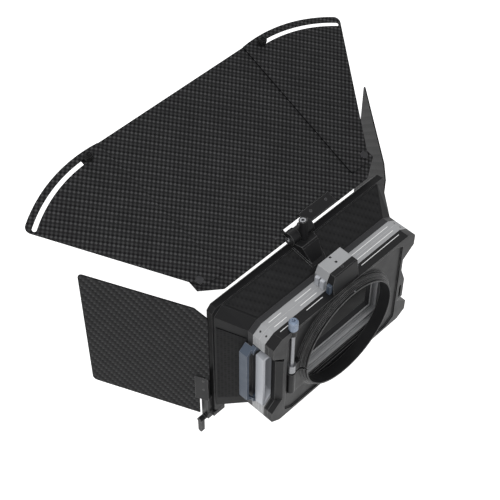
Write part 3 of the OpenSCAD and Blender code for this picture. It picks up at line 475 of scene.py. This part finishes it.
def finish_piece(name, bm, material, body, replaced=()):
    """Makes an object of a finished bmesh and puts it on its body, in place of the nodes named."""
    bmesh.ops.remove_doubles(bm, verts=bm.verts, dist=1e-7)
    bmesh.ops.recalc_face_normals(bm, faces=bm.faces)
    mesh = bpy.data.meshes.new(name)
    bm.to_mesh(mesh)
    bm.free()
    mesh.materials.append(material)
    piece = bpy.data.objects.new(name, mesh)
    bpy.context.scene.collection.objects.link(piece)
    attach(piece, body)
    if replaced:
        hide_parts(*replaced)


def lathe(bm, profile, steps):
    """Spins an outline of (radius, height) round Z; an end on the axis closes it."""
    points = [bm.verts.new((radius, 0, height)) for radius, height in profile]
    edges = [bm.edges.new(pair) for pair in zip(points, points[1:])]
    bmesh.ops.spin(
        bm, geom=points + edges, cent=(0, 0, 0), axis=(0, 0, 1), angle=math.tau,
        steps=steps, use_merge=True)
    bmesh.ops.remove_doubles(bm, verts=bm.verts, dist=1e-6)


def cut_ribs(bm, radius, low, high, ribs, depth):
    """Draws in every third and fourth column of a lathed wall, so that grooves stand between ribs."""
    for vert in bm.verts:
        flat = math.hypot(vert.co.x, vert.co.y)
        if abs(flat - radius) > 1e-5 or not low - 1e-6 <= vert.co.z <= high + 1e-6:
            continue
        column = round(math.atan2(vert.co.y, vert.co.x) / math.tau * ribs * 4) % 4
        if column >= 2:
            bmesh.ops.scale(bm, vec=(1 - depth / radius, 1 - depth / radius, 1), verts=[vert])


def hex_socket(bm, rim_radius, height, across, depth):
    """Closes a round rim at a height with a sunk hexagon."""
    rim = [
        edge for edge in bm.edges
        if edge.is_boundary and all(
            abs(vert.co.z - height) < 1e-6 and abs(math.hypot(*vert.co.xy) - rim_radius) < 1e-5
            for vert in edge.verts)
    ]
    six = bmesh.ops.create_circle(bm, segments=6, radius=across / 2, cap_ends=False)["verts"]
    bmesh.ops.translate(bm, verts=six, vec=(0, 0, height))
    top = list({edge for vert in six for edge in vert.link_edges})
    bmesh.ops.bridge_loops(bm, edges=rim + top)
    made = bmesh.ops.extrude_edge_only(bm, edges=top)["geom"]
    low = [item for item in made if isinstance(item, bmesh.types.BMVert)]
    bmesh.ops.translate(bm, verts=low, vec=(0, 0, -depth))
    floor = [
        item for item in made
        if isinstance(item, bmesh.types.BMEdge) and all(vert in low for vert in item.verts)
    ]
    bmesh.ops.contextual_create(bm, geom=floor)


def on_flag(side):
    """The matrix from a knob's own axes to its place on the top flag."""
    return (
        Matrix.Translation(FLAG_AXIS)
        @ Matrix.Rotation(-FLAG_TILT, 4, "X")
        @ Matrix.Translation((
            side * (WING_PIVOT.x + SLOT_RADIUS * math.sin(KNOB_ANGLE)),
            -(WING_PIVOT.y + SLOT_RADIUS * math.cos(KNOB_ANGLE)), 0))
    )


# Operators

class MATTEBOX_OT_flags(bpy.types.Operator):
    """Lays the weave on the top flag, its wings and the side flags"""
    bl_idname = "mattebox.flags"
    bl_label = "Flags"

    def execute(self, context):
        look = context.scene.mattebox_carbon
        top = carbon("Weave, top flag", (FLAG_TILT, 0, 0), look, TOP_LEVELS, -1.0)
        dress(top, "top_flag_sheet", "left_wing", "right_wing")
        for side, angle, name, levels in (
                (1, LEFT_OPEN, "left_side_flag", SIDE_LEVELS),
                (-1, RIGHT_OPEN, "right_side_flag", RIGHT_LEVELS)):
            # The sheet's length comes to lie along -Y, and then upright becomes X
            swing = Matrix.Rotation(-side * angle, 4, "Z")
            flat = Matrix.Rotation(math.pi / 2, 4, "Y")
            dress(carbon(
                "Weave, " + name.replace("_", " "), (flat @ swing).to_euler(), look, levels,
                -side * 1.0, side=True), name)
        return {"FINISHED"}


class MATTEBOX_OT_hood(bpy.types.Operator):
    """Finishes the hood's frames, shell and inlaid panels"""
    bl_idname = "mattebox.hood"
    bl_label = "Hood"

    def execute(self, context):
        look = context.scene.mattebox_carbon
        metal = context.scene.mattebox_metal
        black = anodised(
            "Matt black hood", metal.hood, edge=0.12, metallic=0.0, rough=0.45, grain=1500.0,
            shine=0.12)
        dress(black, "hood_front_frame", "hood_shell", "bracket_plate")
        # The rear frame's lighter grey is a painted highlight along its ridge
        rim = anodised("Rear frame with painted highlight", metal.rim, edge=0.12, metallic=0.0, rough=0.45, shine=0.2)
        dress(rim, "hood_rear_frame")
        deck = carbon("Weave, decks", (0, 0, 0), look, DECK_LEVELS, -1.0, PANEL_WEAVE)
        dress(deck, "hood_top_panel", "hood_bottom_panel")
        cheek = carbon("Weave, cheeks", (0, math.pi / 2, 0), look, CHEEK_LEVELS, -1.0, PANEL_WEAVE)
        dress(cheek, "hood_left_panel", "hood_right_panel")
        return {"FINISHED"}


class MATTEBOX_OT_stages(bpy.types.Operator):
    """Finishes the stages, trays, grips and tray locks"""
    bl_idname = "mattebox.stages"
    bl_label = "Stages and trays"

    def execute(self, context):
        metal = context.scene.mattebox_metal
        grey = anodised("Grey anodised", metal.grey, edge=0.45)
        dress(
            grey, "front_filter_stage", "middle_filter_stage", "front_tray", "middle_tray",
            "lock_housing")
        pale = anodised("Pale anodised", metal.pale, edge=0.3)
        dress(pale, "middle_grip", "front_lock_bar", "middle_lock_bar")
        blue = anodised("Blue-grey anodised", metal.blue, edge=0.28)
        dress(blue, "front_grip", "rear_lock_bar")
        return {"FINISHED"}


class MATTEBOX_OT_black_parts(bpy.types.Operator):
    """Finishes the clamp stage, ring, brackets, leaves and levers"""
    bl_idname = "mattebox.black_parts"
    bl_label = "Black parts"

    def execute(self, context):
        metal = context.scene.mattebox_metal
        black = anodised(
            "Black anodised", metal.black, edge=0.2, metallic=0.0, rough=0.4, radius=0.65 * MM,
            shine=0.14)
        dress(
            black, "clamp_stage", "rear_tray", "rear_grip", "lens_clamp_ring", "strap_lug",
            "rear_lock_housing", "flag_bracket", "lock_post", "left_hinge_leaf", "right_hinge_leaf",
            "left_side_bracket", "right_side_bracket", "left_side_leaf", "right_side_leaf",
            "left_lever", "right_lever")
        return {"FINISHED"}


class MATTEBOX_OT_hardware(bpy.types.Operator):
    """Finishes the rods, pins, screws, rivets and nuts"""
    bl_idname = "mattebox.hardware"
    bl_label = "Hardware"

    def execute(self, context):
        metal = context.scene.mattebox_metal
        steel = turned_steel("Turned steel", metal.steel, (0.2, 0.2, 1))
        dress(
            steel, "ring_set_screw", "clamp_bush", "clamp_rod", "flag_hinge_pin", "post_screw",
            "left_side_pin", "right_side_pin")
        dark = anodised("Blackened steel", metal.dark_steel, edge=0.2, metallic=0.7, radius=0.2 * MM)
        dress(
            dark, "corner_screws", "lock_housing_screws", "leaf_screws", "wing_rivets", "wing_nuts",
            "side_leaf_rivets_left", "side_leaf_rivets_right")
        return {"FINISHED"}


class MATTEBOX_OT_clamp_knob(bpy.types.Operator):
    """Builds the knurled knob of the clamp rod"""
    bl_idname = "mattebox.clamp_knob"
    bl_label = "Clamp knob"

    def execute(self, context):
        knobs = context.scene.mattebox_knobs
        low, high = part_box("clamp_knob")
        radius = (high[0] - low[0]) / 2
        height = high[2] - low[2]
        bore, socket = 2.25 * MM, 2.5 * MM
        socket_across, socket_depth = 3.9 * MM, 2.0 * MM
        wall = (1.9 * MM, height - 1.6 * MM)
        neck = radius - 1.0 * MM
        lip = radius - 0.5 * MM
        bm = bmesh.new()
        lathe(bm, [
            (bore, 0), (neck - 0.2 * MM, 0), (neck, 0.2 * MM), (neck, 1.3 * MM), (lip, 1.5 * MM),
            (radius, wall[0]), (radius, wall[1]), (lip, height - 1.1 * MM), (lip, height - 0.9 * MM),
            (neck - 0.2 * MM, height - 0.1 * MM), (neck - 0.5 * MM, height), (socket, height),
        ], knobs.clamp_ribs * 4)
        cut_ribs(bm, radius, wall[0], wall[1], knobs.clamp_ribs, knobs.rib_depth)
        hex_socket(bm, socket, height, socket_across, socket_depth)
        middle = ((low[0] + high[0]) / 2, (low[1] + high[1]) / 2, low[2])
        bmesh.ops.translate(bm, verts=bm.verts, vec=middle)
        finish_piece(
            "clamp_knob_knurled", bm, anodised(
                "Clamp knob", context.scene.mattebox_metal.knob, edge=0.55, metallic=0.5, rough=0.32,
                radius=0.3 * MM),
            "clamp_screw", ["clamp_knob"])
        return {"FINISHED"}


class MATTEBOX_OT_wing_knobs(bpy.types.Operator):
    """Builds the two knurled knobs that hold the wings"""
    bl_idname = "mattebox.wing_knobs"
    bl_label = "Wing knobs"

    def execute(self, context):
        knobs = context.scene.mattebox_knobs
        finish = anodised(
            "Black knob", context.scene.mattebox_metal.wing_knob, edge=0.06, metallic=0.0, rough=0.5,
            shine=0.08)
        # The height is 0.05 mm less than the plain knob's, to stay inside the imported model's box
        radius, stud, height = 4 * MM, 1.5 * MM, 8.45 * MM
        stud_end = -SHEET / 2 - 3.2 * MM
        dish = radius - 1.35 * MM
        base = WING_FACE
        top = base + height
        wall = (base + 1.6 * MM, top - 1.2 * MM)
        for side, name in ((1, "left_wing_knob"), (-1, "right_wing_knob")):
            bm = bmesh.new()
            lathe(bm, [
                (0, stud_end), (stud - 0.3 * MM, stud_end), (stud, stud_end + 0.3 * MM), (stud, base),
                (radius - 0.9 * MM, base), (radius - 0.8 * MM, base + 1.1 * MM),
                (radius, wall[0]), (radius, wall[1]), (radius - 0.4 * MM, top - 0.8 * MM),
                (radius - 0.5 * MM, top - 0.2 * MM), (radius - 0.7 * MM, top),
                (radius - 1.2 * MM, top), (dish, top - 0.35 * MM), (0.9 * MM, top - 0.35 * MM),
                (0.75 * MM, top - 0.9 * MM), (0, top - 0.9 * MM),
            ], knobs.wing_ribs * 4)
            cut_ribs(bm, radius, wall[0], wall[1], knobs.wing_ribs, knobs.rib_depth)
            bmesh.ops.transform(bm, matrix=on_flag(side), verts=bm.verts)
            finish_piece(name + "_knurled", bm, finish, name, [name])
        return {"FINISHED"}


class MATTEBOX_OT_index_lines(bpy.types.Operator):
    """Inlays the white index lines on top of the stages"""
    bl_idname = "mattebox.index_lines"
    bl_label = "Index lines"

    def execute(self, context):
        lines = context.scene.mattebox_lines
        # Where the rows lie along Y, and where each line starts and ends along X
        rows = (-29.2 * MM, -22.4 * MM, -15.1 * MM)
        spans = ((64 * MM, 79.5 * MM), (25 * MM, 46 * MM), (-79.5 * MM, -27 * MM))
        thick, rounding = 0.3 * MM, 0.04 * MM
        middle = STAGE_TOP + lines.proud - thick / 2
        bm = bmesh.new()
        for row in rows:
            for start, end in spans:
                made = bmesh.ops.create_cube(bm, size=1)["verts"]
                bmesh.ops.scale(bm, vec=(end - start, lines.width, thick), verts=made)
                bmesh.ops.translate(bm, verts=made, vec=((start + end) / 2, row, middle))
        bmesh.ops.bevel(
            bm, geom=bm.edges[:], offset=rounding, offset_type="OFFSET", affect="EDGES", segments=1,
            profile=0.5, material=-1)
        finish_piece("index_lines", bm, ink("White ink", lines.ink), "matte_box")
        return {"FINISHED"}


def area_light(name, place, size, power):
    data = bpy.data.lights.new(name, "AREA")
    data.shape = "RECTANGLE"
    data.size, data.size_y = size
    data.energy = power
    lamp = bpy.data.objects.new(name, data)
    bpy.context.scene.collection.objects.link(lamp)
    lamp.location = place
    lamp.rotation_euler = (Vector(LAMP_TARGET) - Vector(place)).to_track_quat("-Z", "Y").to_euler()


class MATTEBOX_OT_studio(bpy.types.Operator):
    """Sets up the pale floor, the soft lights and the camera"""
    bl_idname = "mattebox.studio"
    bl_label = "Studio"

    def execute(self, context):
        scene = context.scene
        studio = scene.mattebox_studio
        scene.view_settings.view_transform = "Standard"
        self.make_floor(studio)
        self.make_world(scene, studio)
        for name, place, size, share in LAMPS:
            area_light(name, place, size, studio.key_power * share)
        self.make_camera(scene, studio)
        return {"FINISHED"}

    def make_floor(self, studio):
        bm = bmesh.new()
        bmesh.ops.create_grid(bm, x_segments=2, y_segments=2, size=6)
        bmesh.ops.translate(bm, verts=bm.verts, vec=(0, 0, CAD_BOX[0][2] - FLOOR_DROP))
        mesh = bpy.data.meshes.new("floor")
        bm.to_mesh(mesh)
        bm.free()
        floor = bpy.data.objects.new("floor", mesh)
        bpy.context.scene.collection.objects.link(floor)
        material, tree, shader, _ = start_material("Pale floor")
        shader.inputs["Base Color"].default_value = opaque(studio.floor)
        shader.inputs["Roughness"].default_value = 1.0
        shader.inputs["Specular IOR Level"].default_value = 0.0
        shader.inputs["Emission Color"].default_value = (1, 1, 1, 1)
        glow = calc(tree, "MULTIPLY", backdrop_rays(tree), FLOOR_GLOW)
        tree.links.new(glow, shader.inputs["Emission Strength"])
        mesh.materials.append(material)

    def make_world(self, scene, studio):
        world = bpy.data.worlds.new("Studio")
        scene.world = world
        world.use_nodes = True
        tree = world.node_tree
        back = tree.nodes["Background"]
        back.inputs["Color"].default_value = (1, 1, 1, 1)
        strength = calc(
            tree, "ADD", studio.fill, calc(tree, "MULTIPLY", backdrop_rays(tree), 1 - studio.fill))
        tree.links.new(strength, back.inputs["Strength"])

    def make_camera(self, scene, studio):
        data = bpy.data.cameras.new("Camera")
        data.lens = studio.lens
        data.sensor_width = SENSOR
        data.shift_x = CAMERA_SHIFT
        camera = bpy.data.objects.new("Camera", data)
        scene.collection.objects.link(camera)
        turn, rise = studio.azimuth, studio.elevation
        back = Vector((math.sin(turn) * math.cos(rise), -math.cos(turn) * math.cos(rise), math.sin(rise)))
        right = Vector((math.cos(turn), math.sin(turn), 0))
        up = back.cross(right)
        axes = Matrix((right, up, back)).transposed()
        camera.matrix_world = (
            Matrix.Translation(CAMERA_PLACE) @ axes.to_4x4() @ Matrix.Rotation(studio.roll, 4, "Z"))
        scene.camera = camera


class MATTEBOX_PT_sidebar(bpy.types.Panel):
    """Lists the steps that dress the matte box"""
    bl_idname = "MATTEBOX_PT_sidebar"
    bl_label = "Matte Box"
    bl_space_type = "VIEW_3D"
    bl_region_type = "UI"
    bl_category = "Matte Box"

    def draw(self, context):
        for step in STEPS:
            self.layout.operator(step.bl_idname, text=step.bl_label)


STEPS = (
    MATTEBOX_OT_flags, MATTEBOX_OT_hood, MATTEBOX_OT_stages, MATTEBOX_OT_black_parts,
    MATTEBOX_OT_hardware, MATTEBOX_OT_clamp_knob, MATTEBOX_OT_wing_knobs, MATTEBOX_OT_index_lines,
    MATTEBOX_OT_studio,
)
SETTINGS = {
    "mattebox_carbon": MATTEBOX_PG_carbon,
    "mattebox_metal": MATTEBOX_PG_metal,
    "mattebox_knobs": MATTEBOX_PG_knobs,
    "mattebox_lines": MATTEBOX_PG_lines,
    "mattebox_studio": MATTEBOX_PG_studio,
}


def register():
    for item in (*SETTINGS.values(), *STEPS, MATTEBOX_PT_sidebar):
        bpy.utils.register_class(item)
    for name, group in SETTINGS.items():
        setattr(bpy.types.Scene, name, PointerProperty(type=group))


def unregister():
    for name in SETTINGS:
        delattr(bpy.types.Scene, name)
    for item in (MATTEBOX_PT_sidebar, *reversed(STEPS), *reversed(SETTINGS.values())):
        bpy.utils.unregister_class(item)


def main():
    register()
    for step in STEPS:
        family, action = step.bl_idname.split(".")
        getattr(getattr(bpy.ops, family), action)()


if __name__ == "__main__":
    main()
